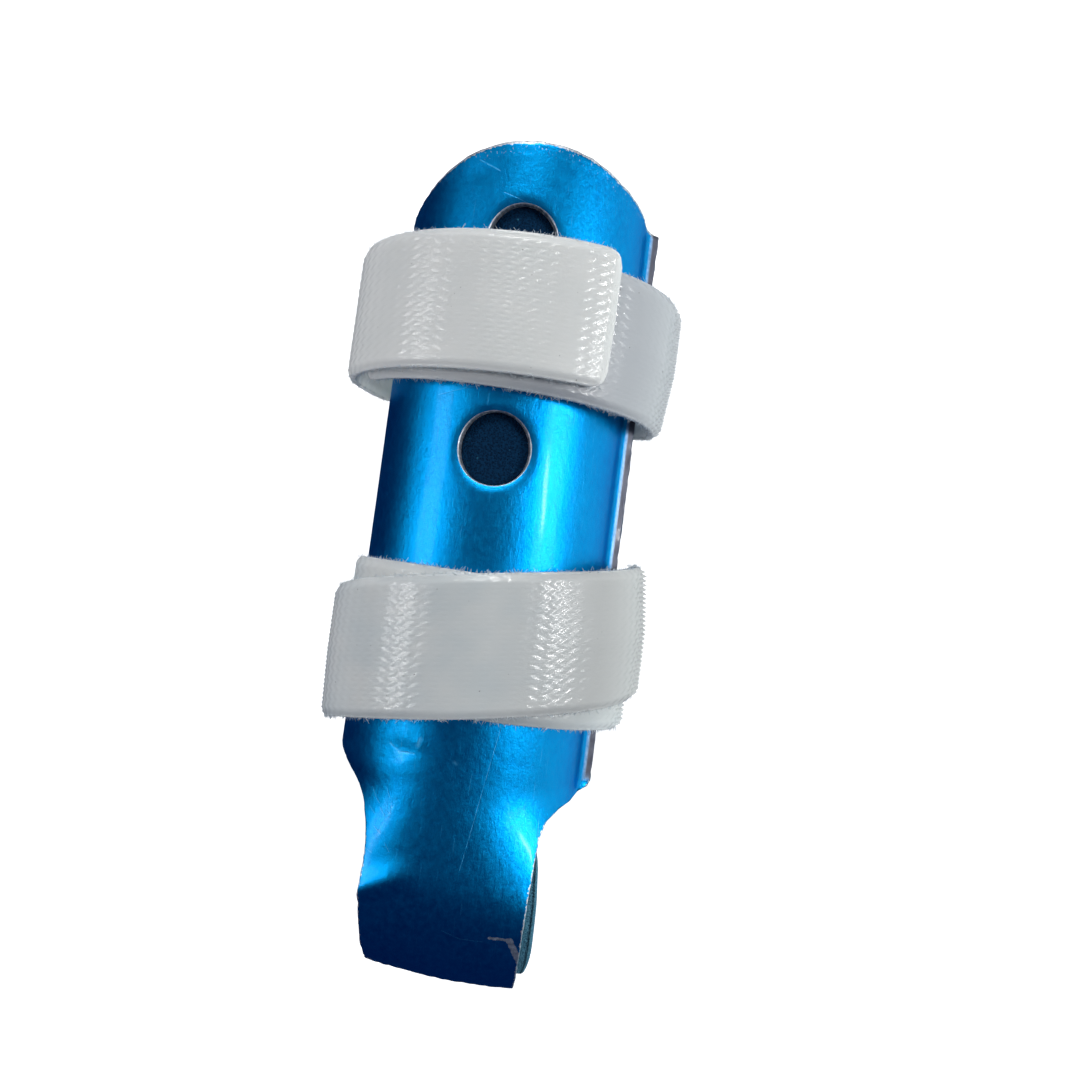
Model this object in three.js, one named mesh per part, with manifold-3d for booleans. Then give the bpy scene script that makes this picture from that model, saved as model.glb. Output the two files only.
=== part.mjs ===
// Finger splint: a gutter of anodised aluminium sheet, lined with foam, whose tongue curls over the fingertip,
// and two hook-and-loop straps wound round it. It lies with its back uppermost on the flattened undersides of
// its straps, the rounded end towards +Y, the tongue towards -Y, and +Z is up. All lengths are in millimetres.

import * as THREE from 'three';
import { mergeVertices } from 'three/addons/utils/BufferGeometryUtils.js';
import Module from 'manifold-3d';

const wasm = await Module();
wasm.setup();

// Driving dimensions of the aluminium shell

const sheetThickness = 0.9;
const gutterRadius = 12.4; // outside of the rolled sheet
const blankWidth = 37.2; // of the flat sheet before it is rolled
const bodyLength = 60.9; // shoulders to the crown of the rounded end
const endSetback = 6.2; // how far the rounded end falls back at its left side
const neckLength = 8.55; // shoulders to where the tongue starts to curl
const neckSkew = 1.2; // the curl starts this much further on at the tongue's right edge than at its left
const tongueWidth = 16;
const tongueShift = 0.7; // of the tongue's middle to the right of the gutter's
const tongueRadius = 60; // across the tongue at its tip, where the sheet is flatter
const curlRadius = 13; // outside of the curl over the fingertip
const curlTurn = 62; // degrees
const tipSkew = 0.9; // the tip's right corner lies this much further on than its left one
const lipLength = 1.9; // sheared right edge, turned outwards
const lipRadius = 1.4;
const ventDiameter = 7;
const ventPitch = 20;
const ventFromEnd = 9.7; // crown of the rounded end to the first vent
const ventCount = 2;
const ventShift = 0.3; // of the punched vents to the right of the middle

// Driving dimensions of the liner

const foamThickness = 3;
const foamSideInset = 1.9; // from the sheet's long edges
const foamEndInset = 0.8; // from the rounded end and from the tip
const foamOverhang = 1.3; // past the tongue's right edge

// Driving dimensions of the straps

const tapeWidth = 13.2;
const tapeThickness = 1.1;
const layerGap = 0.15; // between two wound layers
const upperFromEnd = 16.7; // crown of the rounded end to the middle of each strap
const lowerFromEnd = 48;
const upperStandOff = 2.2; // of the loop from the gutter at its widest
const lowerStandOff = 0.1;
const rightSlack = 0.7; // that each loop stands off further on its right
const cornerRounding = 1.6; // of the free ends
const loopSquareness = 0.84; // below 1 the hanging half of a loop is squarer than an ellipse
const loopSlack = 1.045; // above 1 the loop would hang below the surface, so it lies flat on it
const shedDelay = 4; // degrees that the outer layer stays up past the inner end
const shedTurn = 32; // degrees over which it then comes down

// Clearance and height

const pieceGap = 0.3;
const axisHeight = 8.5; // of the gutter's axis above the surface

// Form tables, as shares of the sizes above

// The rounded end: side is a share of the half width, back a share of endSetback.
const END_OUTLINE = [
	{ side: -1, back: 1 },
	{ side: -0.76, back: 0.82 },
	{ side: -0.54, back: 0.52 },
	{ side: -0.34, back: 0.24 },
	{ side: -0.12, back: 0.06 },
	{ side: 0.1, back: 0 },
	{ side: 0.32, back: 0.07 },
	{ side: 0.52, back: 0.24 },
	{ side: 0.74, back: 0.42 },
	{ side: 1, back: 0.62 },
];

// The cut-in below the body: run is a share of the tongue's length, and left and right say how far each edge
// has come in from the side of the gutter (0) to the side of the tongue (1).
const TONGUE_OUTLINE = [
	{ run: 0, left: 0, right: 0 },
	{ run: 0.03, left: 0.4, right: 0.05 },
	{ run: 0.06, left: 0.64, right: 0.35 },
	{ run: 0.09, left: 0.78, right: 0.64 },
	{ run: 0.14, left: 0.89, right: 0.83 },
	{ run: 0.21, left: 0.97, right: 0.91 },
	{ run: 0.3, left: 1.02, right: 0.94 },
	{ run: 0.4, left: 1.03, right: 0.97 },
	{ run: 1, left: 1.09, right: 1.02 },
];

// How far the foam shows past the tongue's right edge, as a share of foamOverhang.
const FOAM_SHOW = [
	{ run: 0, over: 0 },
	{ run: 0.15, over: 0.2 },
	{ run: 0.35, over: 0.95 },
	{ run: 0.5, over: 1 },
	{ run: 0.75, over: 0.85 },
	{ run: 1, over: 0.4 },
];

// Mesh fineness

const ACROSS_SHEET = 28;
const BODY_ROWS = 13;
const CURL_ROWS = 9;
const ACROSS_FOAM = 18;
const ROUND_VENT = 28;
const DEGREES_PER_TAPE_STEP = 7;
const PROBE_DEGREES = 0.5; // either side of a point, for the direction of the loop there
const WELD = 1e-5;

// Sizes worked out from the ones above

const halfBlank = blankWidth / 2;
const radians = THREE.MathUtils.degToRad;
const lipStart = halfBlank - lipLength;
const curlLength = curlRadius * radians(curlTurn);
const tongueLength = neckLength + curlLength;
const foamTop = sheetThickness + pieceGap;
const hugRadius = gutterRadius + pieceGap + tapeThickness / 2;
const layerLift = tapeThickness + layerGap;
const squareEdge = 1 - (2 * cornerRounding) / tapeWidth;
const TAPE_COLUMNS = [-1, -squareEdge, squareEdge, 1]; // across the tape, as shares of its half width

// The way of each strap: turn is the angle round the gutter in degrees, 0 on top and positive to the right,
// and drift is how far the tape has wandered towards the rounded end, as a share of its width.
const UPPER_WAY = {
	standOff: { left: upperStandOff, right: upperStandOff + rightSlack },
	middle: bodyLength - upperFromEnd,
	path: [
		{ turn: 40, drift: 0.03 },
		{ turn: -90, drift: 0 },
		{ turn: -180, drift: -0.04 },
		{ turn: -270, drift: -0.11 },
		{ turn: -425, drift: -0.03 },
	],
};
const LOWER_WAY = {
	standOff: { left: lowerStandOff, right: lipStandOff() + rightSlack },
	middle: bodyLength - lowerFromEnd,
	path: [
		{ turn: 112, drift: 0.24 },
		{ turn: 80, drift: 0.21 },
		{ turn: -80, drift: -0.24 },
		{ turn: -180, drift: -0.12 },
		{ turn: -270, drift: -0.04 },
		{ turn: -428, drift: 0.02 },
	],
};

// Reads a column of a table between its rows, along straight lines.
function between(table, key, at, column) {
	const rising = table[table.length - 1][key] > table[0][key] ? 1 : -1;
	const next = table.findIndex((row) => (row[key] - at) * rising >= 0);
	if (next === 0) return table[0][column];
	if (next < 0) return table[table.length - 1][column];
	const from = table[next - 1];
	const to = table[next];
	return THREE.MathUtils.mapLinear(at, from[key], to[key], from[column], to[column]);
}

// How far the turned lip reaches outside the gutter's circle.
function lipStandOff() {
	const start = lipStart / gutterRadius;
	const end = start - lipLength / lipRadius;
	const across = gutterRadius * Math.sin(start) + lipRadius * (Math.sin(start) - Math.sin(end));
	const up = gutterRadius * Math.cos(start) - lipRadius * (Math.cos(end) - Math.cos(start));
	return Math.hypot(across, up) - gutterRadius;
}

// Half widths of the sheet on each side, measured on the flat, at a run down the tongue.
function sheetSides(run) {
	const inLeft = between(TONGUE_OUTLINE, 'run', run, 'left');
	const inRight = between(TONGUE_OUTLINE, 'run', run, 'right');
	return {
		left: THREE.MathUtils.lerp(halfBlank, tongueWidth / 2 - tongueShift, inLeft),
		right: THREE.MathUtils.lerp(halfBlank, tongueWidth / 2 + tongueShift, inRight),
	};
}

function foamSides(run) {
	const sheet = sheetSides(run);
	const over = foamOverhang * between(FOAM_SHOW, 'run', run, 'over');
	const inset = foamSideInset * (1 - between(TONGUE_OUTLINE, 'run', run, 'right'));
	return { left: sheet.left - inset, right: sheet.right - inset + over };
}

// Length along the blank from the shoulders to a station: 1 is the rounded end, 0 the shoulders, -1 the tip.
function lengthAt(station, across, endInset) {
	const side = across / halfBlank;
	if (station >= 0) {
		const back = endSetback * between(END_OUTLINE, 'side', side, 'back');
		return station * (bodyLength - back - endInset);
	}
	const skew = tipSkew * (across / tongueWidth);
	return station * (tongueLength + skew - endInset);
}

// Carries a point of the flat blank to its place on the bent sheet. depth is measured inwards from the back.
function bend(length, across, depth) {
	const neck = neckLength + neckSkew * (across / tongueWidth);
	const curled = Math.max(0, -neck - length) / curlRadius;
	const opening = THREE.MathUtils.smoothstep(-length, 0, tongueLength);
	const radius = THREE.MathUtils.lerp(gutterRadius, tongueRadius, opening);
	const onLip = Math.max(0, across - lipStart);
	const turn = (across - onLip) / radius;
	const lean = turn - onLip / lipRadius;
	const x = radius * Math.sin(turn) + lipRadius * (Math.sin(turn) - Math.sin(lean)) - depth * Math.sin(lean);
	const lipDrop = lipRadius * (Math.cos(lean) - Math.cos(turn));
	const drop = radius * (1 - Math.cos(turn)) + lipDrop + depth * Math.cos(lean);
	const reach = curlRadius - drop;
	return new THREE.Vector3(
		x,
		Math.max(length, -neck) - reach * Math.sin(curled),
		axisHeight + gutterRadius - curlRadius + reach * Math.cos(curled),
	);
}

// Stations of the rows of a bent sheet, from the tip to the rounded end.
function stations() {
	const cut = TONGUE_OUTLINE.slice(1, -1).map((row) => -row.run);
	const curl = Array.from({ length: CURL_ROWS }, (_, i) => {
		return THREE.MathUtils.lerp(-1, cut[cut.length - 1], i / CURL_ROWS);
	});
	const body = Array.from({ length: BODY_ROWS + 1 }, (_, i) => i / BODY_ROWS);
	return [...curl, ...cut.reverse(), ...body];
}

// A flat blank, bent: its corners follow the given sides, its faces the given depths.
function bentSheet({ columns, sides, endInset, top, thickness }) {
	const rows = stations();
	const blank = new THREE.BoxGeometry(1, 1, 1, columns, rows.length - 1, 1);
	const place = blank.attributes.position;
	for (let i = 0; i < place.count; i++) {
		const station = rows[Math.round((place.getY(i) + 0.5) * (rows.length - 1))];
		const edge = sides(Math.max(0, -station));
		const across = THREE.MathUtils.lerp(-edge.left, edge.right, place.getX(i) + 0.5);
		const depth = top + (0.5 - place.getZ(i)) * thickness;
		const point = bend(lengthAt(station, across, endInset), across, depth);
		place.setXYZ(i, point.x, point.y, point.z);
	}
	return closed(blank);
}

// Merges the corners that faces share, so that a geometry is one closed mesh.
function closed(geometry) {
	geometry.deleteAttribute('normal');
	geometry.deleteAttribute('uv');
	return mergeVertices(geometry, WELD);
}

function toSolid(geometry) {
	return new wasm.Manifold(new wasm.Mesh({
		numProp: 3,
		vertProperties: new Float32Array(geometry.attributes.position.array),
		triVerts: new Uint32Array(geometry.index.array),
	}));
}

function toGeometry(solid) {
	const mesh = solid.getMesh();
	const geometry = new THREE.BufferGeometry();
	geometry.setAttribute('position', new THREE.BufferAttribute(mesh.vertProperties, 3));
	geometry.setIndex(new THREE.BufferAttribute(mesh.triVerts, 1));
	return geometry;
}

function splintShell() {
	let shell = toSolid(bentSheet({
		columns: ACROSS_SHEET, sides: sheetSides, endInset: 0, top: 0, thickness: sheetThickness,
	}));
	for (let i = 0; i < ventCount; i++) {
		const punch = new THREE.CylinderGeometry(ventDiameter / 2, ventDiameter / 2, gutterRadius, ROUND_VENT);
		punch.rotateX(Math.PI / 2);
		punch.translate(ventShift, bodyLength - ventFromEnd - i * ventPitch, axisHeight + gutterRadius);
		shell = shell.subtract(toSolid(closed(punch)));
	}
	return toGeometry(shell);
}

function foamLiner() {
	return bentSheet({
		columns: ACROSS_FOAM, sides: foamSides, endInset: foamEndInset, top: foamTop, thickness: foamThickness,
	});
}

// Middle of the tape's innermost layer, seen along the gutter, at an angle round it.
function loopPoint(degrees, standOff) {
	const turn = radians(THREE.MathUtils.euclideanModulo(degrees + 180, 360) - 180);
	const stand = turn < 0 ? standOff.left : standOff.right;
	if (Math.cos(turn) >= 0) {
		const radius = hugRadius + stand * Math.sin(turn) ** 2;
		return new THREE.Vector2(radius * Math.sin(turn), axisHeight + radius * Math.cos(turn));
	}
	const floor = tapeThickness / 2;
	const across = (hugRadius + stand) * Math.abs(Math.sin(turn)) ** loopSquareness;
	const down = (axisHeight - floor) * loopSlack * Math.abs(Math.cos(turn)) ** loopSquareness;
	return new THREE.Vector2(Math.sign(turn) * across, Math.max(floor, axisHeight - down));
}

// One tape, wound from its free outer end round the gutter and on under itself.
function strap({ path, standOff, middle }) {
	const first = path[0].turn;
	const last = path[path.length - 1].turn;
	const steps = Math.ceil((first - last) / DEGREES_PER_TAPE_STEP);
	const tape = new THREE.BoxGeometry(1, 1, 1, TAPE_COLUMNS.length - 1, steps, 1);
	const place = tape.attributes.position;
	const shedStart = last + 360 - shedDelay; // where the outer layer starts to come off the inner one
	const shedEnd = shedStart - shedTurn;
	for (let i = 0; i < place.count; i++) {
		const share = TAPE_COLUMNS[Math.round((place.getX(i) + 0.5) * (TAPE_COLUMNS.length - 1))];
		const along = 0.5 - place.getY(i);
		const corner = Math.abs(share) === 1 ? THREE.MathUtils.radToDeg(cornerRounding / hugRadius) : 0;
		const trim = along === 0 ? -corner : along === 1 ? corner : 0;
		const turn = THREE.MathUtils.lerp(first, last, along) + trim;
		const here = loopPoint(turn, standOff);
		const ahead = loopPoint(turn + PROBE_DEGREES, standOff);
		const tangent = ahead.sub(loopPoint(turn - PROBE_DEGREES, standOff)).normalize();
		const lift = layerLift * THREE.MathUtils.smoothstep(turn, shedEnd, shedStart);
		const out = lift + place.getZ(i) * tapeThickness;
		const drift = between(path, 'turn', turn, 'drift');
		place.setXYZ(
			i,
			here.x - tangent.y * out,
			middle + (drift - share / 2) * tapeWidth,
			here.y + tangent.x * out,
		);
	}
	return closed(tape);
}

function finish(color, metalness, roughness) {
	return new THREE.MeshStandardMaterial({ color, metalness, roughness });
}

const blueAnodised = finish(0x0b6fae, 1, 0.28);
const tealFoam = finish(0x2c5f7d, 0, 0.95);
const milkyTape = finish(0xc9cfd1, 0, 0.55);

const splint = new THREE.Group();

function add(name, geometry, material) {
	const mesh = new THREE.Mesh(geometry, material);
	mesh.name = name;
	splint.add(mesh);
}

add('splint_shell', splintShell(), blueAnodised);
add('foam_liner', foamLiner(), tealFoam);
add('upper_strap', strap(UPPER_WAY), milkyTape);
add('lower_strap', strap(LOWER_WAY), milkyTape);

// The origin is the middle of the base of the whole splint.
const box = new THREE.Box3().setFromObject(splint);
const centre = box.getCenter(new THREE.Vector3());
splint.position.set(-centre.x, -centre.y, -box.min.z);

export default splint;
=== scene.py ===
"""Finger splint: a gutter of blue anodised sheet lined with teal foam, held by two milky hook-and-loop straps.

The forms are worked out in millimetres, on the flat blank and along the flat tapes, and are then bent and
wound to their places in the frame, whose unit is the metre.
"""

import math
import random

import bmesh
import bpy
from mathutils import Matrix, Vector, noise


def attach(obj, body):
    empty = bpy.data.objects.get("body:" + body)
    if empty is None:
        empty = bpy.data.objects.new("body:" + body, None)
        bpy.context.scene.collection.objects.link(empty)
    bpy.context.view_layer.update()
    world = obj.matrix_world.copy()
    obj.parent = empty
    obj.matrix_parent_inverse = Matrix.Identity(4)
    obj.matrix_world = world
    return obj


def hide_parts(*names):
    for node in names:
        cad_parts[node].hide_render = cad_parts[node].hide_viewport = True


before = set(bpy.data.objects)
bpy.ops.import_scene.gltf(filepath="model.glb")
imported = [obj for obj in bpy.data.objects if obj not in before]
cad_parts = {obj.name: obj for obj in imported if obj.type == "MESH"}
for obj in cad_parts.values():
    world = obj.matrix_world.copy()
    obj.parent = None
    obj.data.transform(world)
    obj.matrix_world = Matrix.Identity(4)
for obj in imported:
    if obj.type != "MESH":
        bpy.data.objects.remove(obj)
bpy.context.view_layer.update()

MM = 0.001
BODY = "root"
BURR_SEED = 5

# The gutter's middle and the shoulders of the blank, in the frame
GUTTER_X = -0.1875
SHOULDERS_Y = -20.3373

# Shell, in millimetres
SHEET_THICKNESS = 0.9
GUTTER_RADIUS = 12.4
BLANK_WIDTH = 37.2
BODY_LENGTH = 60.9
END_SETBACK = 6.2
NECK_LENGTH = 8.55
NECK_SKEW = 1.2
TONGUE_WIDTH = 16.0
TONGUE_SHIFT = 0.7
TONGUE_RADIUS = 60.0
CURL_RADIUS = 13.0
CURL_TURN = 62.0
TIP_SKEW = 0.9
LIP_LENGTH = 1.9
LIP_RADIUS = 1.4
VENT_DIAMETER = 7.0
VENT_PITCH = 20.0
VENT_FROM_END = 9.7
VENT_SHIFT = 0.3
VENT_COUNT = 2
SHEET_EDGE_RADIUS = 0.12

# Liner
FOAM_THICKNESS = 3.0
FOAM_EDGE_RADIUS = 0.5
FOAM_SIDE_INSET = 1.9
FOAM_END_INSET = 0.8
FOAM_OVERHANG = 1.3
PIECE_GAP = 0.3

# Straps
TAPE_WIDTH = 13.2
TAPE_THICKNESS = 1.1
LAYER_GAP = 0.15
CORNER_ROUNDING = 1.6
LOOP_SQUARENESS = 0.84
LOOP_SLACK = 1.045
SHED_DELAY = 4.0
SHED_TURN = 32.0
AXIS_HEIGHT = 8.5
UPPER_MIDDLE = 44.2
LOWER_MIDDLE = 12.9
UPPER_STAND_OFF = 2.2
LOWER_STAND_OFF = 0.1
RIGHT_SLACK = 0.7
EDGE_CROWN = 0.32
EDGE_CROWN_REACH = 1.1

# Small hooks on the tape, tall where the angle round the gutter lies between their rise and their fall
HOOK_ROW = 0.46
HOOK_STEP = 1.3
HOOK_FLAT = 0.012
HOOK_TALL = 0.55
HOOK_SINK = 0.03
HOOK_RISE = (66, 90)
HOOK_FALL = (95, 120)

# Loose fibres along the tape's long edges
FIBRE_COUNT = 2000
FIBRE_ROOT = 0.12
FIBRE_RADIUS = 0.03
FIBRE_TIP_RADIUS = 0.014

# Zigzag ribs of the tape's weave, in centimetres as its UV map
RIB_WIDTH = 0.046
RIB_LEAN = 1.4
RIB_PITCH = 0.13

# Cells of the flat pieces: across, along
SHELL_CELLS = (74, 166)
FOAM_CELLS = (44, 100)
TAPE_CELLS = (112, 400)

HALF_BLANK = BLANK_WIDTH / 2
LIP_START = HALF_BLANK - LIP_LENGTH
TONGUE_LENGTH = NECK_LENGTH + CURL_RADIUS * math.radians(CURL_TURN)
BLANK_LENGTH = TONGUE_LENGTH + BODY_LENGTH
VENT_PATCH = 5.0
HUG_RADIUS = GUTTER_RADIUS + PIECE_GAP + TAPE_THICKNESS / 2
LAYER_LIFT = TAPE_THICKNESS + LAYER_GAP

# Rounded end: share of the half width, share of END_SETBACK
END_OUTLINE = [(-1, 1), (-0.76, 0.82), (-0.54, 0.52), (-0.34, 0.24), (-0.12, 0.06),
               (0.1, 0), (0.32, 0.07), (0.52, 0.24), (0.74, 0.42), (1, 0.62)]

# Cut-in below the body: share of the tongue's length, how far in each edge has come
LEFT_CUT = [(0, 0), (0.03, 0.4), (0.06, 0.64), (0.09, 0.78), (0.14, 0.89), (0.21, 0.97), (0.3, 1.02),
            (0.4, 1.03), (1, 1.09)]
RIGHT_CUT = [(0, 0), (0.03, 0.05), (0.06, 0.35), (0.09, 0.64), (0.14, 0.83), (0.21, 0.91), (0.3, 0.94),
             (0.4, 0.97), (1, 1.02)]

# Foam beside the tongue: share of the tongue's length, share of FOAM_OVERHANG
FOAM_SHOW = [(0, 0), (0.15, 0.3), (0.35, 1), (0.5, 1.1), (0.75, 1.1), (1, 0.8)]

# Single scratches and chips of the finish on the flat: start, end, width
SCRATCHES = [
    ((-7.6, -1.6), (-6.9, -2.4), 0.07), ((-7.0, -2.3), (-6.3, -2.9), 0.07),
    ((-7.4, -3.4), (-6.6, -3.9), 0.06), ((-6.2, -3.2), (-5.4, -3.9), 0.06),
    ((-7.5, -5.2), (-7.2, -6.4), 0.08), ((-7.3, -6.9), (-6.2, -7.3), 0.08),
    ((-6.4, -5.0), (-5.6, -5.5), 0.06), ((-5.8, -1.2), (-5.2, -2.2), 0.05),
    ((-5.0, -6.2), (-4.4, -6.9), 0.05), ((-3.1, 3.0), (-2.9, 3.6), 0.30),
    ((0.5, 2.0), (0.75, 1.9), 0.25), ((-6.0, 2.7), (-4.9, 2.1), 0.16),
    ((-4.9, 2.1), (-3.4, 2.2), 0.14), ((4.6, 6.8), (2.3, -7.6), 0.05),
    ((1.3, -13.5), (3.0, -14.2), 0.08), ((3.0, -14.2), (5.2, -14.3), 0.08),
    ((-5.0, 58.8), (-2.7, 57.7), 0.10), ((-2.0, 55.6), (2.2, 54.2), 0.07),
    ((6.5, 52.0), (8.2, 46.0), 0.12), ((9.6, 53.0), (10.6, 47.0), 0.14),
    ((-6.0, 35.8), (-1.5, 37.0), 0.06),
]
CHIPS = [((5.8, -13.8), (7.4, -14.0), 0.24), ((7.6, -14.0), (8.9, -16.8), 0.5),
         ((-6.6, -22.1), (-5.8, -21.6), 0.6)]

# Dents of the sheet on the flat: middle, reach both ways, depth
DENTS = [((0.6, 2.0), (0.45, 0.4), 0.1), ((-4.7, 2.5), (1.2, 0.4), 0.1), ((-3.0, 3.3), (0.35, 0.5), -0.1),
         ((-13.5, 0.8), (1.2, 0.9), -0.2), ((7.5, -14.8), (1.0, 0.8), 0.12), ((-4.0, 57.5), (2.0, 1.0), 0.07)]

# Folds of the sheet on the flat: start, end, reach to the side, depth
FOLDS = [((-8.4, -11.9), (-2.6, -8.6), 1.1, -0.42), ((-6.5, 1.2), (-3.2, 2.4), 0.3, 0.05)]

# Waves of hand rolling on the flat: height, reach across, reach along, seed
ROLL_WAVES = [(0.09, 9, 14, 0), (0.02, 2.5, 5, 4)]
VENT_RIM_DEPTH = 0.16
VENT_RIM_REACH = 0.45
BURR = 0.09
BURR_REACH = 0.5
TIP_TRIM = 0.6

# Droop of the tongue's sides near its root: how far from the middle it starts, and its rate
LEFT_DROOP = (2.5, 0.012)
RIGHT_DROOP = (3, 0.001)

# How far each strap draws in at its edges: left north, left south, right north, right south
UPPER_TUCKS = (0, 0, 0, 0.8)
LOWER_TUCKS = (0, 0.3, 0.7, 0)

# Ways of the straps: angle round the gutter from the free end, drift as a share of the tape's width
UPPER_PATH = [(40, 0.03), (-90, 0), (-180, -0.04), (-270, -0.11), (-425, -0.03)]
LOWER_PATH = [(112, 0.24), (80, 0.21), (-80, -0.24), (-180, -0.12), (-270, -0.04), (-428, 0.02)]


def clamp(value, low=0.0, high=1.0):
    return max(low, min(high, value))


def blend(a, b, share):
    return a + (b - a) * share


def smoothstep(value, low, high):
    share = clamp((value - low) / (high - low))
    return share * share * (3 - 2 * share)


def between(table, at):
    """Reads a two-column table between its rows, whether its first column rises or falls."""
    rising = 1 if table[-1][0] > table[0][0] else -1
    if (at - table[0][0]) * rising <= 0:
        return table[0][1]
    for (x0, y0), (x1, y1) in zip(table, table[1:]):
        if (at - x1) * rising <= 0:
            return blend(y0, y1, (at - x0) / (x1 - x0))
    return table[-1][1]


def eased(table, at):
    """Reads a table as a smooth curve through its rows that never overshoots them."""
    if at <= table[0][0]:
        return table[0][1]
    last = len(table) - 2
    for i, ((x0, y0), (x1, y1)) in enumerate(zip(table, table[1:])):
        if at > x1 and i < last:
            continue
        slope = (y1 - y0) / (x1 - x0)
        before = (y0 - table[i - 1][1]) / (x0 - table[i - 1][0]) if i else slope
        after = (table[i + 2][1] - y1) / (table[i + 2][0] - x1) if i < last else slope
        start = 0 if before * slope <= 0 else 2 * before * slope / (before + slope)
        end = 0 if after * slope <= 0 else 2 * after * slope / (after + slope)
        t = clamp((at - x0) / (x1 - x0))
        run = x1 - x0
        return ((2 * t ** 3 - 3 * t ** 2 + 1) * y0 + (t ** 3 - 2 * t ** 2 + t) * run * start
                + (3 * t ** 2 - 2 * t ** 3) * y1 + (t ** 3 - t ** 2) * run * end)
    return table[-1][1]


def to_frame(x, y, z):
    return Vector(((x + GUTTER_X) * MM, (y + SHOULDERS_Y) * MM, z * MM))


def make_object(name, bm, smooth=True):
    mesh = bpy.data.meshes.new(name)
    bm.to_mesh(mesh)
    bm.free()
    if smooth:
        mesh.shade_smooth()
    piece = bpy.data.objects.new(name, mesh)
    bpy.context.scene.collection.objects.link(piece)
    return piece


# Flat blank and its bending


def sheet_sides(run):
    return (blend(HALF_BLANK, TONGUE_WIDTH / 2 - TONGUE_SHIFT, eased(LEFT_CUT, run)),
            blend(HALF_BLANK, TONGUE_WIDTH / 2 + TONGUE_SHIFT, eased(RIGHT_CUT, run)))


def foam_sides(run):
    left, right = sheet_sides(run)
    inset = FOAM_SIDE_INSET * (1 - eased(RIGHT_CUT, run))
    return left - inset, right - inset + FOAM_OVERHANG * eased(FOAM_SHOW, run)


def length_at(station, across, end_inset):
    """Place along the blank from the shoulders: station 1 is the rounded end, 0 the shoulders, -1 the tip."""
    if station >= 0:
        return station * (BODY_LENGTH - END_SETBACK * eased(END_OUTLINE, across / HALF_BLANK) - end_inset)
    return station * (TONGUE_LENGTH + TIP_SKEW * across / TONGUE_WIDTH - end_inset)


def bend(across, length, depth):
    """Carries a point of the flat blank to the bent sheet. depth goes inwards from the back."""
    neck = NECK_LENGTH + NECK_SKEW * across / TONGUE_WIDTH
    curled = max(0.0, -neck - length) / CURL_RADIUS
    radius = blend(GUTTER_RADIUS, TONGUE_RADIUS, smoothstep(-length, 0, TONGUE_LENGTH))
    on_lip = max(0.0, across - LIP_START)
    turn = (across - on_lip) / radius
    lean = turn - on_lip / LIP_RADIUS
    x = radius * math.sin(turn) + LIP_RADIUS * (math.sin(turn) - math.sin(lean)) - depth * math.sin(lean)
    lip_drop = LIP_RADIUS * (math.cos(lean) - math.cos(turn))
    reach = CURL_RADIUS - (radius * (1 - math.cos(turn)) + lip_drop + depth * math.cos(lean))
    return to_frame(x, max(length, -neck) - reach * math.sin(curled),
                    AXIS_HEIGHT + GUTTER_RADIUS - CURL_RADIUS + reach * math.cos(curled))


def vent_centres():
    return [(VENT_SHIFT, BODY_LENGTH - VENT_FROM_END - i * VENT_PITCH) for i in range(VENT_COUNT)]


def cut_blank(columns, rows, sides, end_inset, vents=()):
    """A flat sheet of cells in the outline of the blank: x across it, y along it."""
    bm = bmesh.new()
    bmesh.ops.create_grid(bm, x_segments=columns, y_segments=rows, size=1)
    for across, length in vents:
        station = length / length_at(1, across, 0)
        middle = (across / HALF_BLANK, 2 * (TONGUE_LENGTH + station * BODY_LENGTH) / BLANK_LENGTH - 1)
        reach = (VENT_PATCH / HALF_BLANK, 2 * VENT_PATCH / BLANK_LENGTH)
        inside = [f for f in bm.faces
                  if all(abs(f.calc_center_median()[k] - middle[k]) < reach[k] for k in (0, 1))]
        bmesh.ops.delete(bm, geom=inside, context="FACES")
    for v in bm.verts:
        length = blend(-TONGUE_LENGTH, BODY_LENGTH, (v.co.y + 1) / 2)
        station = length / (BODY_LENGTH if length > 0 else TONGUE_LENGTH)
        left, right = sides(max(0.0, -station))
        across = blend(-left, right, (v.co.x + 1) / 2)
        v.co = (across, length_at(station, across, end_inset), 0)
    for centre in vents:
        ring_vent(bm, Vector((*centre, 0)))
    return bm


def ring_vent(bm, middle, rings=7):
    """Closes a patch of missing cells with rings that end in a round hole."""
    border = [e for e in bm.edges if e.is_boundary and (e.verts[0].co - middle).length < VENT_PATCH * 1.6]
    for ring in range(rings):
        grown = bmesh.ops.extrude_edge_only(bm, edges=border)["geom"]
        border = [e for e in grown if isinstance(e, bmesh.types.BMEdge)]
        for v in {v for e in border for v in e.verts}:
            rim = middle + (v.co - middle).normalized() * VENT_DIAMETER / 2
            v.co = v.co.lerp(rim, 1 / (rings - ring))


def thicken(bm, thickness, edge_radius, edge_segments):
    """Gives a flat sheet its thickness, from 0 down to -thickness, and rounds its edges a little."""
    bmesh.ops.recalc_face_normals(bm, faces=bm.faces[:])
    bmesh.ops.solidify(bm, geom=bm.faces[:], thickness=thickness)
    top = max(v.co.z for v in bm.verts)
    for v in bm.verts:
        v.co.z -= top
    bmesh.ops.recalc_face_normals(bm, faces=bm.faces[:])
    corners = [e for e in bm.edges if e.is_manifold and e.calc_face_angle() > 1]
    bmesh.ops.bevel(bm, geom=corners, offset=edge_radius, offset_type="OFFSET", segments=edge_segments,
                    profile=0.5, affect="EDGES", material=-1)


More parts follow.
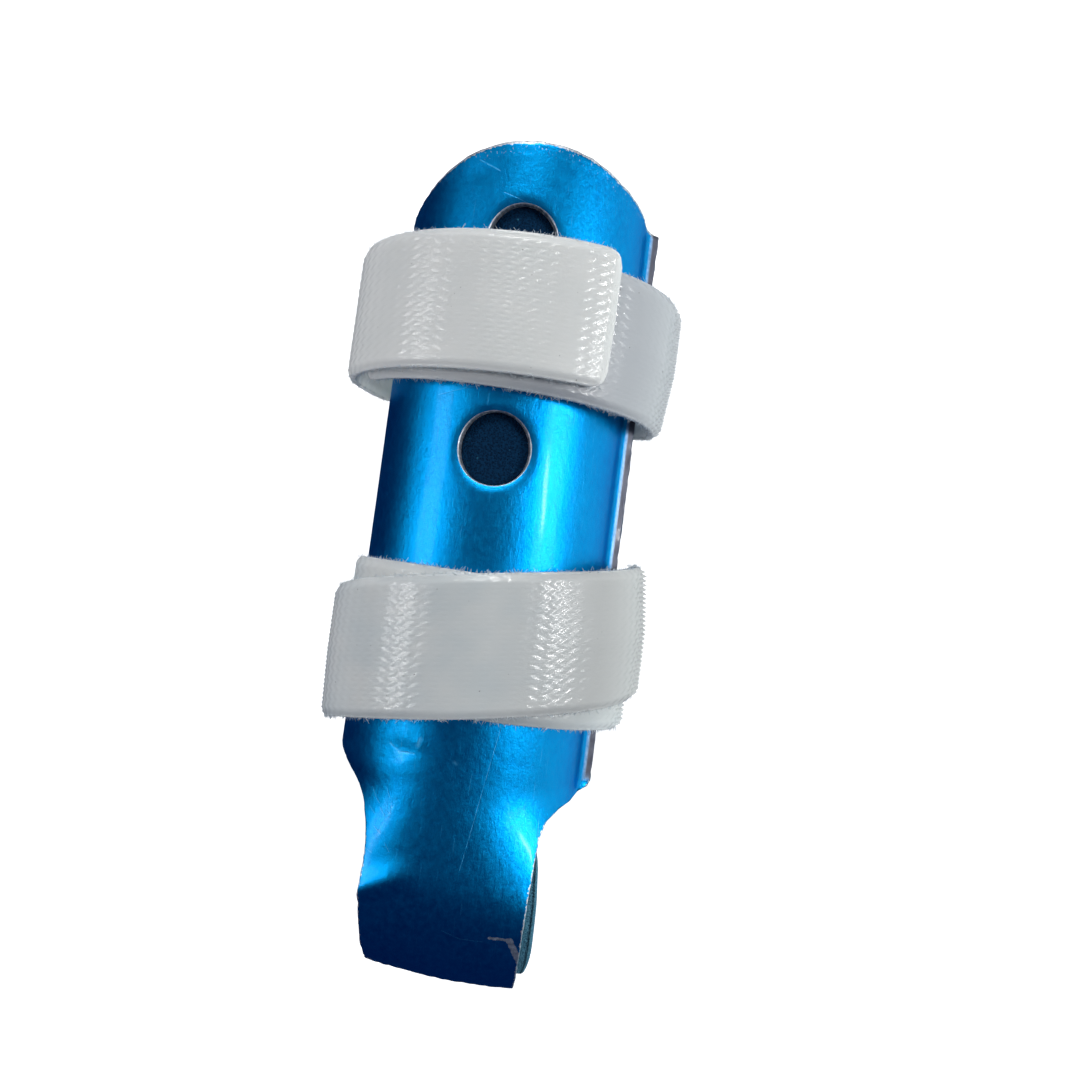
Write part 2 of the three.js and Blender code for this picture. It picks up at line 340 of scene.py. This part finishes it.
def edge_distance(across, length):
    """How far a point of the blank is from its nearest cut edge, and from its nearest vent."""
    station = length / (BODY_LENGTH if length > 0 else TONGUE_LENGTH)
    left, right = sheet_sides(max(0.0, -station))
    far_end = length_at(1, across, 0) - length
    tip = length - length_at(-1, across, 0)
    vent = min(math.hypot(across - x, length - y) - VENT_DIAMETER / 2 for x, y in vent_centres())
    return max(0.0, min(across + left, right - across, far_end, tip)), max(0.0, vent)


def lay_out_pattern(bm, name, scale=0.1):
    """Keeps each point's place on the flat piece as a UV map, in centimetres."""
    layer = bm.loops.layers.uv.new(name)
    for face in bm.faces:
        for loop in face.loops:
            loop[layer].uv = (loop.vert.co.x * scale, loop.vert.co.y * scale)


def hump(across, length, middle, reach):
    """A soft round hump: 1 at its middle, and almost nothing past twice its reach."""
    return math.exp(-((across - middle[0]) / reach[0]) ** 2 - ((length - middle[1]) / reach[1]) ** 2)


def fold(across, length, start, end, reach):
    """A soft straight fold from start to end that fades towards both of its ends."""
    run = Vector(end) - Vector(start)
    offset = Vector((across, length)) - Vector(start)
    along = offset.dot(run) / run.length_squared
    aside = (run.x * offset.y - run.y * offset.x) / run.length / reach
    return math.exp(-aside ** 2) * smoothstep(along, -0.25, 0.15) * (1 - smoothstep(along, 0.7, 1.3))


def sheet_relief(across, length):
    """How far the sheet lies inside its true form: hand rolling, dents, folds and the punched vents' rims."""
    waves = sum(height * noise.noise(Vector((across / wide, length / long, seed)))
                for height, wide, long, seed in ROLL_WAVES)
    dents = sum(deep * hump(across, length, middle, reach) for middle, reach, deep in DENTS)
    folds = sum(deep * fold(across, length, start, end, reach) for start, end, reach, deep in FOLDS)
    rims = 0.0
    for x, y in vent_centres():
        off_rim = math.hypot(across - x, length - y) - VENT_DIAMETER / 2
        rims += VENT_RIM_DEPTH * math.exp(-(off_rim / VENT_RIM_REACH) ** 2)
    return waves + dents + folds + rims


def tongue_droop(across, length):
    """The tongue still curves like the gutter near its root, so that both of its sides hang lower."""
    root = smoothstep(-length, -1, 3) * (1 - smoothstep(-length, 7, 13))
    return root * sum(rate * max(0.0, aside - start) ** 2
                      for aside, (start, rate) in ((-across, LEFT_DROOP), (across, RIGHT_DROOP)))


def splint_shell():
    bm = cut_blank(*SHELL_CELLS, sheet_sides, 0, vent_centres())
    thicken(bm, SHEET_THICKNESS, SHEET_EDGE_RADIUS, 2)
    lay_out_pattern(bm, "blank")
    edge, rim, lip = [bm.verts.layers.float.new(name) for name in ("edge_mm", "rim_mm", "lip")]
    for v in bm.verts:
        x, y, z = v.co
        v[edge], v[rim] = edge_distance(x, y)
        v[lip] = smoothstep(x, HALF_BLANK - 0.9, HALF_BLANK - 0.7) * smoothstep(y, 0.2, 0.6)
        burr = (1 - smoothstep(v[edge], 0, BURR_REACH)) * BURR
        shake = noise.noise_vector(Vector((x * 1.4, y * 1.4, z * 2))) * burr
        trim = TIP_TRIM * (1 - (2 * x / TONGUE_WIDTH) ** 2) * smoothstep(-y, TONGUE_LENGTH - 3, TONGUE_LENGTH)
        v.co = bend(x + shake.x, y + shake.y + trim, sheet_relief(x, y) + tongue_droop(x, y) - z + shake.z)
    return make_object("splint_shell_sheet", bm)


def foam_liner():
    bm = cut_blank(*FOAM_CELLS, foam_sides, FOAM_END_INSET)
    thicken(bm, FOAM_THICKNESS, FOAM_EDGE_RADIUS, 3)
    lay_out_pattern(bm, "blank")
    unshaded_face = bm.verts.layers.float.new("unshaded_face")
    for v in bm.verts:
        x, y, z = v.co
        clear = x - sheet_sides(max(0.0, -y / TONGUE_LENGTH))[1]
        # 0 on the face against the sheet, which is painted darker as shade, rising to 1 on the faces that show
        # the foam unshaded
        v[unshaded_face] = max(smoothstep(-z, 0.05, 0.5), smoothstep(clear, -0.3, 0))
        v.co = bend(x, y, SHEET_THICKNESS + PIECE_GAP + tongue_droop(x, y) - z)
    return make_object("foam_liner_sheet", bm)


# Straps


def lip_stand_off():
    start = LIP_START / GUTTER_RADIUS
    end = start - LIP_LENGTH / LIP_RADIUS
    across = GUTTER_RADIUS * math.sin(start) + LIP_RADIUS * (math.sin(start) - math.sin(end))
    up = GUTTER_RADIUS * math.cos(start) - LIP_RADIUS * (math.cos(end) - math.cos(start))
    return math.hypot(across, up) - GUTTER_RADIUS


def loop_point(degrees, stand_left, stand_right):
    """Middle of a strap's inner layer, seen along the gutter, at an angle round it."""
    turn = math.radians((degrees + 180) % 360 - 180)
    stand = stand_left if turn < 0 else stand_right
    if math.cos(turn) >= 0:
        radius = HUG_RADIUS + stand * math.sin(turn) ** 2
        return Vector((radius * math.sin(turn), AXIS_HEIGHT + radius * math.cos(turn)))
    floor = TAPE_THICKNESS / 2
    across = (HUG_RADIUS + stand) * abs(math.sin(turn)) ** LOOP_SQUARENESS
    down = (AXIS_HEIGHT - floor) * LOOP_SLACK * abs(math.cos(turn)) ** LOOP_SQUARENESS
    return Vector((math.copysign(across, turn), max(floor, AXIS_HEIGHT - down)))


def tape_way(path, stand_left, stand_right, step=0.5, probe=0.5):
    """Rows of (length, turn, place, direction) along a strap, with a row each step degrees."""
    first, last = path[0][0], path[-1][0]
    count = math.ceil((first - last) / step)
    rows = []
    length = 0.0
    for i in range(count + 1):
        turn = blend(first, last, i / count)
        before, here, after = [loop_point(turn + off, stand_left, stand_right) for off in (-probe, 0, probe)]
        ahead = after - before
        if rows:
            length += (here - rows[-1][2]).length
        rows.append((length, turn, here, ahead.normalized()))
    return rows


def turn_at(rows, along):
    """Angle round the gutter of a place along the tape."""
    share = clamp(along / rows[-1][0]) * (len(rows) - 1)
    near = int(share)
    while near > 0 and rows[near][0] > along:
        near -= 1
    while near < len(rows) - 2 and rows[near + 1][0] < along:
        near += 1
    return rows[near][1]


def wound(rows, path, middle, across, along, out):
    """Carries a point of the flat tape to its place on the loop. out is away from the gutter."""
    at = clamp(along, 0, rows[-1][0])
    low, high = 0, len(rows) - 1
    while high - low > 1:
        half = (low + high) // 2
        low, high = (half, high) if rows[half][0] <= at else (low, half)
    share = (at - rows[low][0]) / max(1e-9, rows[high][0] - rows[low][0])
    turn = blend(rows[low][1], rows[high][1], share)
    here = rows[low][2].lerp(rows[high][2], share)
    tangent = rows[low][3].lerp(rows[high][3], share).normalized()
    shed_start = path[-1][0] + 360 - SHED_DELAY
    lift = LAYER_LIFT * smoothstep(turn, shed_start - SHED_TURN, shed_start) + out
    beyond = along - at
    here = here - tangent * beyond
    return to_frame(here.x - tangent.y * lift, middle + between(path, turn) * TAPE_WIDTH + across,
                    here.y + tangent.x * lift)


def hook_height(across, along, turn):
    """Rows of hooks, each half a step on from the row beside it, that stand up where the tape bends."""
    steep = abs((turn + 180) % 360 - 180)
    tall = blend(HOOK_FLAT, HOOK_TALL, smoothstep(steep, *HOOK_RISE) * (1 - smoothstep(steep, *HOOK_FALL)))
    row = math.floor(across / HOOK_ROW)
    side = 0.5 + 0.5 * math.cos(2 * math.pi * (across / HOOK_ROW - row - 0.5))
    run = 0.5 + 0.5 * math.cos(2 * math.pi * (along / HOOK_STEP + 0.5 * (row % 2)))
    return tall * side * run


def tuck_at(tucks, share, turn):
    """How far a strap draws in at a place. share is 1 at its north edge and -1 at its south edge."""
    lean = math.sin(math.radians(turn))
    edge = tucks[(0 if lean < 0 else 2) + (0 if share > 0 else 1)]
    return edge * abs(share) * lean ** 2


def strap(name, path, middle, stand_left, stand_right, tucks):
    """A tape with rounded corners and crowned edges, wound on its way round the gutter."""
    way = tape_way(path, stand_left, stand_right)
    total = way[-1][0]
    half = TAPE_WIDTH / 2
    columns, rows = TAPE_CELLS
    bm = bmesh.new()
    bmesh.ops.create_grid(bm, x_segments=columns, y_segments=rows, size=1)
    for v in bm.verts:
        along = total * (v.co.y + 1) / 2
        end = min(along, total - along)
        corner = max(0.0, CORNER_ROUNDING - end)
        reach = half - CORNER_ROUNDING + math.sqrt(CORNER_ROUNDING ** 2 - corner ** 2)
        v.co = (v.co.x * reach, along, 0)
    bmesh.ops.solidify(bm, geom=bm.faces[:], thickness=TAPE_THICKNESS)
    top = max(v.co.z for v in bm.verts)
    for v in bm.verts:
        v.co.z -= top - TAPE_THICKNESS / 2
    bmesh.ops.recalc_face_normals(bm, faces=bm.faces[:])
    lay_out_pattern(bm, "tape")
    for v in bm.verts:
        x, y, z = v.co
        end = min(y, total - y)
        inset = min(half - abs(x), end)
        crown = EDGE_CROWN * (1 - smoothstep(inset, 0, EDGE_CROWN_REACH)) ** 2
        turn = turn_at(way, y)
        out = z - math.copysign(crown, z) - tuck_at(tucks, -x / half, turn)
        if z > 0 and inset > 0.2:
            out += hook_height(x, y, turn) - HOOK_SINK
        v.co = wound(way, path, middle, -x, y, out)
    bmesh.ops.recalc_face_normals(bm, faces=bm.faces[:])
    return make_object(name, bm)


def tape_fuzz(name, path, middle, stand_left, stand_right, tucks, seed):
    """Short fibres that stand out of the tape's two long edges."""
    way = tape_way(path, stand_left, stand_right)
    total = way[-1][0]
    draw = random.Random(seed)
    bm = bmesh.new()
    for _ in range(FIBRE_COUNT):
        side = draw.choice((-1, 1))
        along = draw.uniform(0.5, total - 0.5)
        out = draw.uniform(-0.45, 0.35) - tuck_at(tucks, side, turn_at(way, along))
        root = wound(way, path, middle, side * (TAPE_WIDTH / 2 - FIBRE_ROOT), along, out)
        reach = draw.uniform(0.05, 0.5) * draw.random() + 0.05
        free = wound(way, path, middle, side * (TAPE_WIDTH / 2 + reach),
                     along + draw.uniform(-0.45, 0.45), out + draw.uniform(-0.15, 0.2))
        fibre = free - root
        place = Matrix.Translation((root + free) / 2) @ fibre.to_track_quat("Z", "Y").to_matrix().to_4x4()
        bmesh.ops.create_cone(bm, cap_ends=True, segments=3, radius1=FIBRE_RADIUS * MM,
                              radius2=FIBRE_TIP_RADIUS * MM, depth=fibre.length, matrix=place)
    return make_object(name, bm)


# Materials

DEEP_BLUE = (0.0006, 0.20, 0.56, 1)
MIDDLE_BLUE = (0.0008, 0.27, 0.66, 1)
LIVELY_BLUE = (0.001, 0.31, 0.70, 1)
SCRATCH_BLUE = (0.10, 0.48, 0.78, 1)
DULL_METAL = (0.36, 0.40, 0.45, 1)
BARE_METAL = (0.85, 0.87, 0.90, 1)
# dark grey: painted shade on the bare metal of the turned lip
LIP_SHADE_METAL = (0.115, 0.12, 0.15, 1)
BLUE_TINT = (0.06, 0.5, 0.85, 1)

# The first three foam colours are painted shade, for the face against the sheet that shows through the vents;
# the last two are the foam unshaded
SHADED_FOAM_PIT = (0.0005, 0.006, 0.022, 1)
SHADED_FOAM_SKIN = (0.002, 0.026, 0.07, 1)
SHADED_FOAM_FLECK = (0.03, 0.15, 0.24, 1)
UNSHADED_FOAM_PIT = (0.030, 0.11, 0.17, 1)
UNSHADED_FOAM_SKIN = (0.075, 0.22, 0.31, 1)

DUST = (0.13, 0.12, 0.12, 1)
FIBRE_SHADE = (0.42, 0.50, 0.56, 1)
FIBRE_MILK = (0.68, 0.72, 0.74, 1)

# Milk of each tape: thick patches, thin patches, painted shade on the right side of its loop, and where that
# shade starts and ends along it
UPPER_MILK = ((0.74, 0.745, 0.72, 1), (0.68, 0.695, 0.675, 1), (0.45, 0.47, 0.49, 1), 5.8, 9.6)
LOWER_MILK = ((0.65, 0.66, 0.64, 1), (0.55, 0.595, 0.60, 1), (0.46, 0.465, 0.455, 1), -1, 1.9)


def new_material(name):
    material = bpy.data.materials.new(name)
    material.use_nodes = True
    tree = material.node_tree
    return material, tree, tree.nodes["Principled BSDF"]


def add_node(tree, kind, inputs=None, **settings):
    made = tree.nodes.new("ShaderNode" + kind)
    for key, value in settings.items():
        setattr(made, key, value)
    for key, value in (inputs or {}).items():
        if isinstance(value, bpy.types.NodeSocket):
            tree.links.new(value, made.inputs[key])
        else:
            made.inputs[key].default_value = value
    return made


def mix_colours(tree, share, first, second):
    return add_node(tree, "Mix", {"Factor": share, 6: first, 7: second}, data_type="RGBA").outputs[2]


def remap(tree, value, low, high, to_low=0.0, to_high=1.0):
    return add_node(tree, "MapRange", {"Value": value, "From Min": low, "From Max": high, "To Min": to_low,
                                       "To Max": to_high}).outputs["Result"]


def stretched_noise(tree, place, scale, detail, roughness=0.5, turn=0.0):
    spread = add_node(tree, "Mapping", {"Vector": place, "Rotation": (0, 0, turn), "Scale": scale})
    return add_node(tree, "TexNoise", {"Vector": spread.outputs["Vector"], "Scale": 1.0, "Detail": detail,
                                       "Roughness": roughness}).outputs["Fac"]


def greater(tree, *values):
    most = values[0]
    for value in values[1:]:
        most = add_node(tree, "Math", {0: most, 1: value}, operation="MAXIMUM").outputs[0]
    return most


def times(tree, first, second):
    return add_node(tree, "Math", {0: first, 1: second}, operation="MULTIPLY").outputs[0]


def scratch(tree, place, start, end, width):
    """1 along a line between two places of the flat blank in millimetres, falling to 0 at its width."""
    origin = Vector((start[0] / 10, start[1] / 10, 0))
    run = Vector((end[0] / 10, end[1] / 10, 0)) - origin
    offset = add_node(tree, "VectorMath", {0: place, 1: origin}, operation="SUBTRACT").outputs["Vector"]
    along = add_node(tree, "VectorMath", {0: offset, 1: run / run.length_squared}, operation="DOT_PRODUCT")
    held = add_node(tree, "Clamp", {"Value": along.outputs["Value"]}).outputs["Result"]
    nearest = add_node(tree, "VectorMath", {0: run, "Scale": held}, operation="SCALE").outputs["Vector"]
    away = add_node(tree, "VectorMath", {0: offset, 1: nearest}, operation="DISTANCE").outputs["Value"]
    return remap(tree, away, width / 10, 0.0)


def anodised_sheet():
    material, tree, shader = new_material("anodised_sheet")
    place = add_node(tree, "UVMap", uv_map="blank").outputs["UV"]
    edge = add_node(tree, "Attribute", attribute_name="edge_mm").outputs["Fac"]
    rim = add_node(tree, "Attribute", attribute_name="rim_mm").outputs["Fac"]
    lip = add_node(tree, "Attribute", attribute_name="lip").outputs["Fac"]
    grain = stretched_noise(tree, place, (55, 11, 1), 5.0, 0.7)
    mottle = stretched_noise(tree, place, (16, 11, 1), 8.0, 0.72)
    cloud = stretched_noise(tree, place, (1.6, 1.1, 1), 3.0)
    ragged = stretched_noise(tree, place, (26, 26, 1), 4.0)

    # bare metal along the cut edges and the turned lip, at chips and at worn specks
    limit = remap(tree, ragged, 0.35, 0.75, 0.05, 0.26)
    along = add_node(tree, "SeparateXYZ", {"Vector": place}).outputs["Y"]
    at_crown = remap(tree, along, 5.3, 5.7, 0.0, 0.16)
    wider = add_node(tree, "Math", {0: limit, 1: at_crown}, operation="ADD").outputs[0]
    cut =add_node(tree, "Math", {0: edge, 1: wider}, operation="LESS_THAN").outputs[0]
    rimmed = add_node(tree, "Math", {0: rim, 1: 0.1}, operation="LESS_THAN").outputs[0]
    speck = stretched_noise(tree, place, (60, 30, 1), 2.0)
    crown = remap(tree, along, 5.0, 5.3)
    worn = times(tree, times(tree, remap(tree, speck, 0.63, 0.70), remap(tree, edge, 1.5, 0.1)), crown)
    chips = greater(tree, *[scratch(tree, place, *row) for row in CHIPS])
    chipped = add_node(tree, "Math", {0: chips, 1: ragged}, operation="ADD").outputs[0]
    bare = greater(tree, cut, rimmed, lip, worn, remap(tree, chipped, 0.80, 0.90))

    # hairlines: long crossing scratches of rubbing, and those of single knocks
    hair = remap(tree, stretched_noise(tree, place, (60, 2.2, 1), 3.0, 0.6, 0.5), 0.66, 0.72)
    cross = remap(tree, stretched_noise(tree, place, (75, 3.0, 1), 3.0, 0.6, -0.75), 0.67, 0.73)
    knocks = greater(tree, *[scratch(tree, place, *row) for row in SCRATCHES])
    broken = times(tree, knocks, remap(tree, grain, 0.35, 0.55))
    marks = greater(tree, times(tree, hair, 0.3), times(tree, cross, 0.25), times(tree, broken, 0.7))

    deep = mix_colours(tree, remap(tree, cloud, 0.35, 0.65), DEEP_BLUE, MIDDLE_BLUE)
    lively = mix_colours(tree, remap(tree, mottle, 0.3, 0.7), deep, LIVELY_BLUE)
    marked = mix_colours(tree, marks, lively, SCRATCH_BLUE)
    grey = mix_colours(tree, remap(tree, ragged, 0.3, 0.7), DULL_METAL, BARE_METAL)
    # painted shade: the turned lip's bare metal is darker than the other cut edges
    bare_with_lip_shade = mix_colours(tree, lip, grey, LIP_SHADE_METAL)
    tree.links.new(mix_colours(tree, bare, marked, bare_with_lip_shade), shader.inputs["Base Color"])
    shader.inputs["Metallic"].default_value = 1
    shader.inputs["Specular Tint"].default_value = BLUE_TINT
    shader.inputs["Coat Weight"].default_value = 0.08
    shader.inputs["Coat Roughness"].default_value = 0.1
    glossy = remap(tree, mottle, 0.3, 0.7, 0.30, 0.40)
    rough = add_node(tree, "Mix", {"Factor": greater(tree, bare, marks), 2: glossy, 3: 0.5}).outputs[0]
    tree.links.new(rough, shader.inputs["Roughness"])
    height = add_node(tree, "Math", {0: grain, 1: marks}, operation="SUBTRACT").outputs[0]
    fine = add_node(tree, "Bump", {"Height": height, "Strength": 0.6, "Distance": 0.00003})
    rubbed = add_node(tree, "Bump", {"Height": mottle, "Strength": 0.7, "Distance": 0.00007,
                                     "Normal": fine.outputs["Normal"]})
    tree.links.new(rubbed.outputs["Normal"], shader.inputs["Normal"])
    return material


def teal_foam():
    material, tree, shader = new_material("teal_foam")
    place = add_node(tree, "UVMap", uv_map="blank").outputs["UV"]
    unshaded_face = add_node(tree, "Attribute", attribute_name="unshaded_face").outputs["Fac"]
    solid = add_node(tree, "TexCoord").outputs["Object"]
    cells = add_node(tree, "TexVoronoi", {"Vector": solid, "Scale": 5500.0}).outputs["Distance"]
    cloud = stretched_noise(tree, place, (9, 9, 1), 5.0)
    # painted shade: the face against the sheet, seen through the vents, takes darker copies of the foam's
    # colours; the other faces take the unshaded colours
    shaded_under = mix_colours(tree, remap(tree, cells, 0.1, 0.7), SHADED_FOAM_PIT, SHADED_FOAM_SKIN)
    shaded_flecked = mix_colours(tree, remap(tree, cloud, 0.66, 0.72), shaded_under, SHADED_FOAM_FLECK)
    unshaded_cells = mix_colours(tree, remap(tree, cells, 0.1, 0.7), UNSHADED_FOAM_PIT, UNSHADED_FOAM_SKIN)
    tree.links.new(mix_colours(tree, unshaded_face, shaded_flecked, unshaded_cells), shader.inputs["Base Color"])
    shader.inputs["Roughness"].default_value = 0.85
    shader.inputs["Specular IOR Level"].default_value = 0.06
    bump = add_node(tree, "Bump", {"Height": cells, "Strength": 0.7, "Distance": 0.00015})
    tree.links.new(bump.outputs["Normal"], shader.inputs["Normal"])
    return material


def milky_tape(name, thick, thin, right_side_shade, start, end):
    """Tape that looks thicker or thinner in patches, and is painted darker from start to end along it, as shade
    on the right side of its loop.
    """
    material, tree, shader = new_material(name)
    place = add_node(tree, "UVMap", uv_map="tape").outputs["UV"]
    cloud = stretched_noise(tree, place, (2.2, 1.6, 1), 4.0)
    speck = stretched_noise(tree, place, (26, 22, 1), 1.0)
    weave = stretched_noise(tree, place, (120, 40, 1), 3.0, 0.6)
    spread = add_node(tree, "SeparateXYZ", {"Vector": place})
    layers = mix_colours(tree, remap(tree, cloud, 0.25, 0.75), thin, thick)
    # painted shade: from start to end along the tape, on the right side of its loop, the milk takes a darker
    # colour
    right_side_shade_span = times(tree, remap(tree, spread.outputs["Y"], start - 0.3, start + 0.3),
                   remap(tree, spread.outputs["Y"], end + 0.5, end - 0.5))
    milk = mix_colours(tree, right_side_shade_span, layers, right_side_shade)
    dusty = mix_colours(tree, remap(tree, speck, 0.775, 0.80, 0.0, 0.7), milk, DUST)
    tree.links.new(dusty, shader.inputs["Base Color"])
    tree.links.new(remap(tree, weave, 0.3, 0.7, 0.40, 0.55), shader.inputs["Roughness"])
    shader.inputs["Coat Weight"].default_value = 0.75
    shader.inputs["Coat Roughness"].default_value = 0.12
    shader.inputs["Subsurface Weight"].default_value = 0.8
    shader.inputs["Subsurface Radius"].default_value = (1, 0.97, 0.94)
    shader.inputs["Subsurface Scale"].default_value = 0.0011

    # zigzag ribs of the weave: they lean to and fro across the tape and repeat along it
    lean = add_node(tree, "Math", {0: spread.outputs["X"], 1: RIB_WIDTH}, operation="PINGPONG").outputs[0]
    leaning = add_node(tree, "Math", {0: lean, 1: RIB_LEAN, 2: spread.outputs["Y"]}, operation="MULTIPLY_ADD")
    phase = times(tree, leaning.outputs[0], 2 * math.pi / RIB_PITCH)
    ribs = add_node(tree, "Math", {0: phase}, operation="SINE").outputs[0]
    bump = add_node(tree, "Bump", {"Height": weave, "Strength": 0.3, "Distance": 0.00004})
    ribbed = add_node(tree, "Bump", {"Height": ribs, "Strength": 1.0, "Distance": 0.000020,
                                     "Normal": bump.outputs["Normal"]})
    faint = add_node(tree, "Bump", {"Height": ribs, "Strength": 0.12, "Distance": 0.000020,
                                    "Normal": bump.outputs["Normal"]})
    tree.links.new(faint.outputs["Normal"], shader.inputs["Normal"])
    tree.links.new(ribbed.outputs["Normal"], shader.inputs["Coat Normal"])
    return material


def loose_fibres():
    material, tree, shader = new_material("loose_fibres")
    place = add_node(tree, "TexCoord").outputs["Object"]
    shades = add_node(tree, "TexNoise", {"Vector": place, "Scale": 1500.0}).outputs["Fac"]
    tree.links.new(mix_colours(tree, shades, FIBRE_SHADE, FIBRE_MILK), shader.inputs["Base Color"])
    tree.links.new(remap(tree, shades, 0.3, 0.7, 0.4, 0.6), shader.inputs["Roughness"])
    return material


# Floor, lights and camera

NAVY_ROOM = (0.010, 0.022, 0.070, 1)
PALE_CEILING = (0.21, 0.225, 0.24, 1)
BRIGHT_WALL = (1.0, 1.15, 1.15, 1)
CEILING_WAY = (0.0, 0.62, 0.78)
WALL_WAY = (0.93, 0.1, -0.35)

# Lamps, all aimed at LAMP_AIM: name, place and size in metres, power in watts
LAMP_AIM = (0, 0.01, 0.02)
LAMPS = [
    ("left_softbox", (-0.43, 0.02, 0.30), (0.17, 0.20), 0.62),
    ("right_softbox", (0.41, 0.05, 0.30), (0.22, 0.16), 0.58),
    ("north_softbox", (-0.06, 0.58, 0.60), (0.32, 0.24), 2.6),
    ("streak_lamp", (0.385, 0.058, 0.33), (0.022, 0.05), 0.45),
    ("lower_right_lamp", (0.385, -0.036, 0.33), (0.012, 0.08), 0.03),
    ("upper_right_lamp", (0.385, 0.16, 0.33), (0.014, 0.09), 0.05),
    ("lower_left_lamp", (-0.40, -0.036, 0.32), (0.012, 0.08), 0.10),
    ("upper_left_lamp", (-0.40, 0.17, 0.32), (0.012, 0.05), 0.04),
]

# Camera's place and aim in the units of the blank, its upward direction in the frame, and its lens
CAMERA_PLACE = (9.3, 18.1, 111)
CAMERA_AIM = (4.81, 24.4, 0)
CAMERA_UP = (-0.12756, 0.98993, 0.06133)
SENSOR_WIDTH = 36
FOCAL_LENGTH = 32.53


def aimed(place, aim, up):
    """Turns an object at place so that its own -Z points at aim and its +Y leans towards up."""
    back = (Vector(place) - Vector(aim)).normalized()
    side = Vector(up).cross(back).normalized()
    turn = Matrix((side, back.cross(side), back)).transposed().to_4x4()
    return Matrix.Translation(Vector(place)) @ turn


def add_floor():
    bm = bmesh.new()
    bmesh.ops.create_grid(bm, x_segments=1, y_segments=1, size=3)
    floor = make_object("floor", bm, smooth=False)
    material, tree, shader = new_material("pale_floor")
    shader.inputs["Base Color"].default_value = (0.9, 0.9, 0.9, 1)
    shader.inputs["Roughness"].default_value = 0.8
    shader.inputs["Emission Color"].default_value = (1, 1, 1, 1)
    shader.inputs["Emission Strength"].default_value = 0.8
    floor.data.materials.append(material)
    floor.visible_glossy = False


def add_backdrop():
    """A pale dome that only the camera sees, so that it stands behind the splint without lighting it."""
    bm = bmesh.new()
    bmesh.ops.create_uvsphere(bm, u_segments=48, v_segments=24, radius=2.8)
    dome = make_object("backdrop", bm)
    material, tree, shader = new_material("pale_backdrop")
    shader.inputs["Base Color"].default_value = (0, 0, 0, 1)
    shader.inputs["Specular IOR Level"].default_value = 0
    shader.inputs["Emission Color"].default_value = (1, 1, 1, 1)
    shader.inputs["Emission Strength"].default_value = 0.95
    dome.data.materials.append(material)
    dome.visible_diffuse = False
    dome.visible_glossy = False
    dome.visible_transmission = False
    dome.visible_shadow = False


def add_lamp(name, place, size, power):
    lamp = bpy.data.lights.new(name, "AREA")
    lamp.shape = "RECTANGLE"
    lamp.size, lamp.size_y = size
    lamp.energy = power
    box = bpy.data.objects.new(name, lamp)
    box.matrix_world = aimed(place, LAMP_AIM, (0, 1, 0))
    bpy.context.scene.collection.objects.link(box)


def light_scene():
    """A navy room with a pale ceiling and a bright wall on the right, and the lamps."""
    world = bpy.data.worlds.new("studio")
    bpy.context.scene.world = world
    world.use_nodes = True
    tree = world.node_tree
    background = tree.nodes["Background"]
    way = add_node(tree, "TexCoord").outputs["Generated"]
    up = add_node(tree, "VectorMath", {0: way, 1: CEILING_WAY}, operation="DOT_PRODUCT").outputs["Value"]
    aside = add_node(tree, "VectorMath", {0: way, 1: WALL_WAY}, operation="DOT_PRODUCT").outputs["Value"]
    ceiling = mix_colours(tree, remap(tree, up, 0.5, 0.97), NAVY_ROOM, PALE_CEILING)
    room = mix_colours(tree, remap(tree, aside, 0.5, 0.98), ceiling, BRIGHT_WALL)
    tree.links.new(room, background.inputs["Color"])
    for lamp in LAMPS:
        add_lamp(*lamp)


def add_camera():
    """Close above the splint, a few degrees off straight down, with the rounded end leaning to the right."""
    lens = bpy.data.cameras.new("camera")
    lens.sensor_width = SENSOR_WIDTH
    lens.lens = FOCAL_LENGTH
    lens.clip_start = 0.005
    camera = bpy.data.objects.new("camera", lens)
    camera.matrix_world = aimed(to_frame(*CAMERA_PLACE), to_frame(*CAMERA_AIM), CAMERA_UP)
    bpy.context.scene.collection.objects.link(camera)
    bpy.context.scene.camera = camera


def dress(piece, node, material):
    piece.data.materials.append(material)
    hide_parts(node)
    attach(piece, BODY)


noise.seed_set(BURR_SEED)
shell = splint_shell()
dress(shell, "splint_shell", anodised_sheet())
liner = foam_liner()
dress(liner, "foam_liner", teal_foam())
upper_way = (UPPER_PATH, UPPER_MIDDLE, UPPER_STAND_OFF, UPPER_STAND_OFF + RIGHT_SLACK, UPPER_TUCKS)
lower_way = (LOWER_PATH, LOWER_MIDDLE, LOWER_STAND_OFF, lip_stand_off() + RIGHT_SLACK, LOWER_TUCKS)
dress(strap("upper_strap_tape", *upper_way), "upper_strap", milky_tape("upper_tape", *UPPER_MILK))
dress(strap("lower_strap_tape", *lower_way), "lower_strap", milky_tape("lower_tape", *LOWER_MILK))

fibres = loose_fibres()
for fuzz in (tape_fuzz("upper_strap_fuzz", *upper_way, seed=5),
             tape_fuzz("lower_strap_fuzz", *lower_way, seed=9)):
    fuzz.data.materials.append(fibres)
    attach(fuzz, BODY)

add_floor()
add_backdrop()
light_scene()
add_camera()
bpy.context.scene.view_settings.view_transform = "Standard"
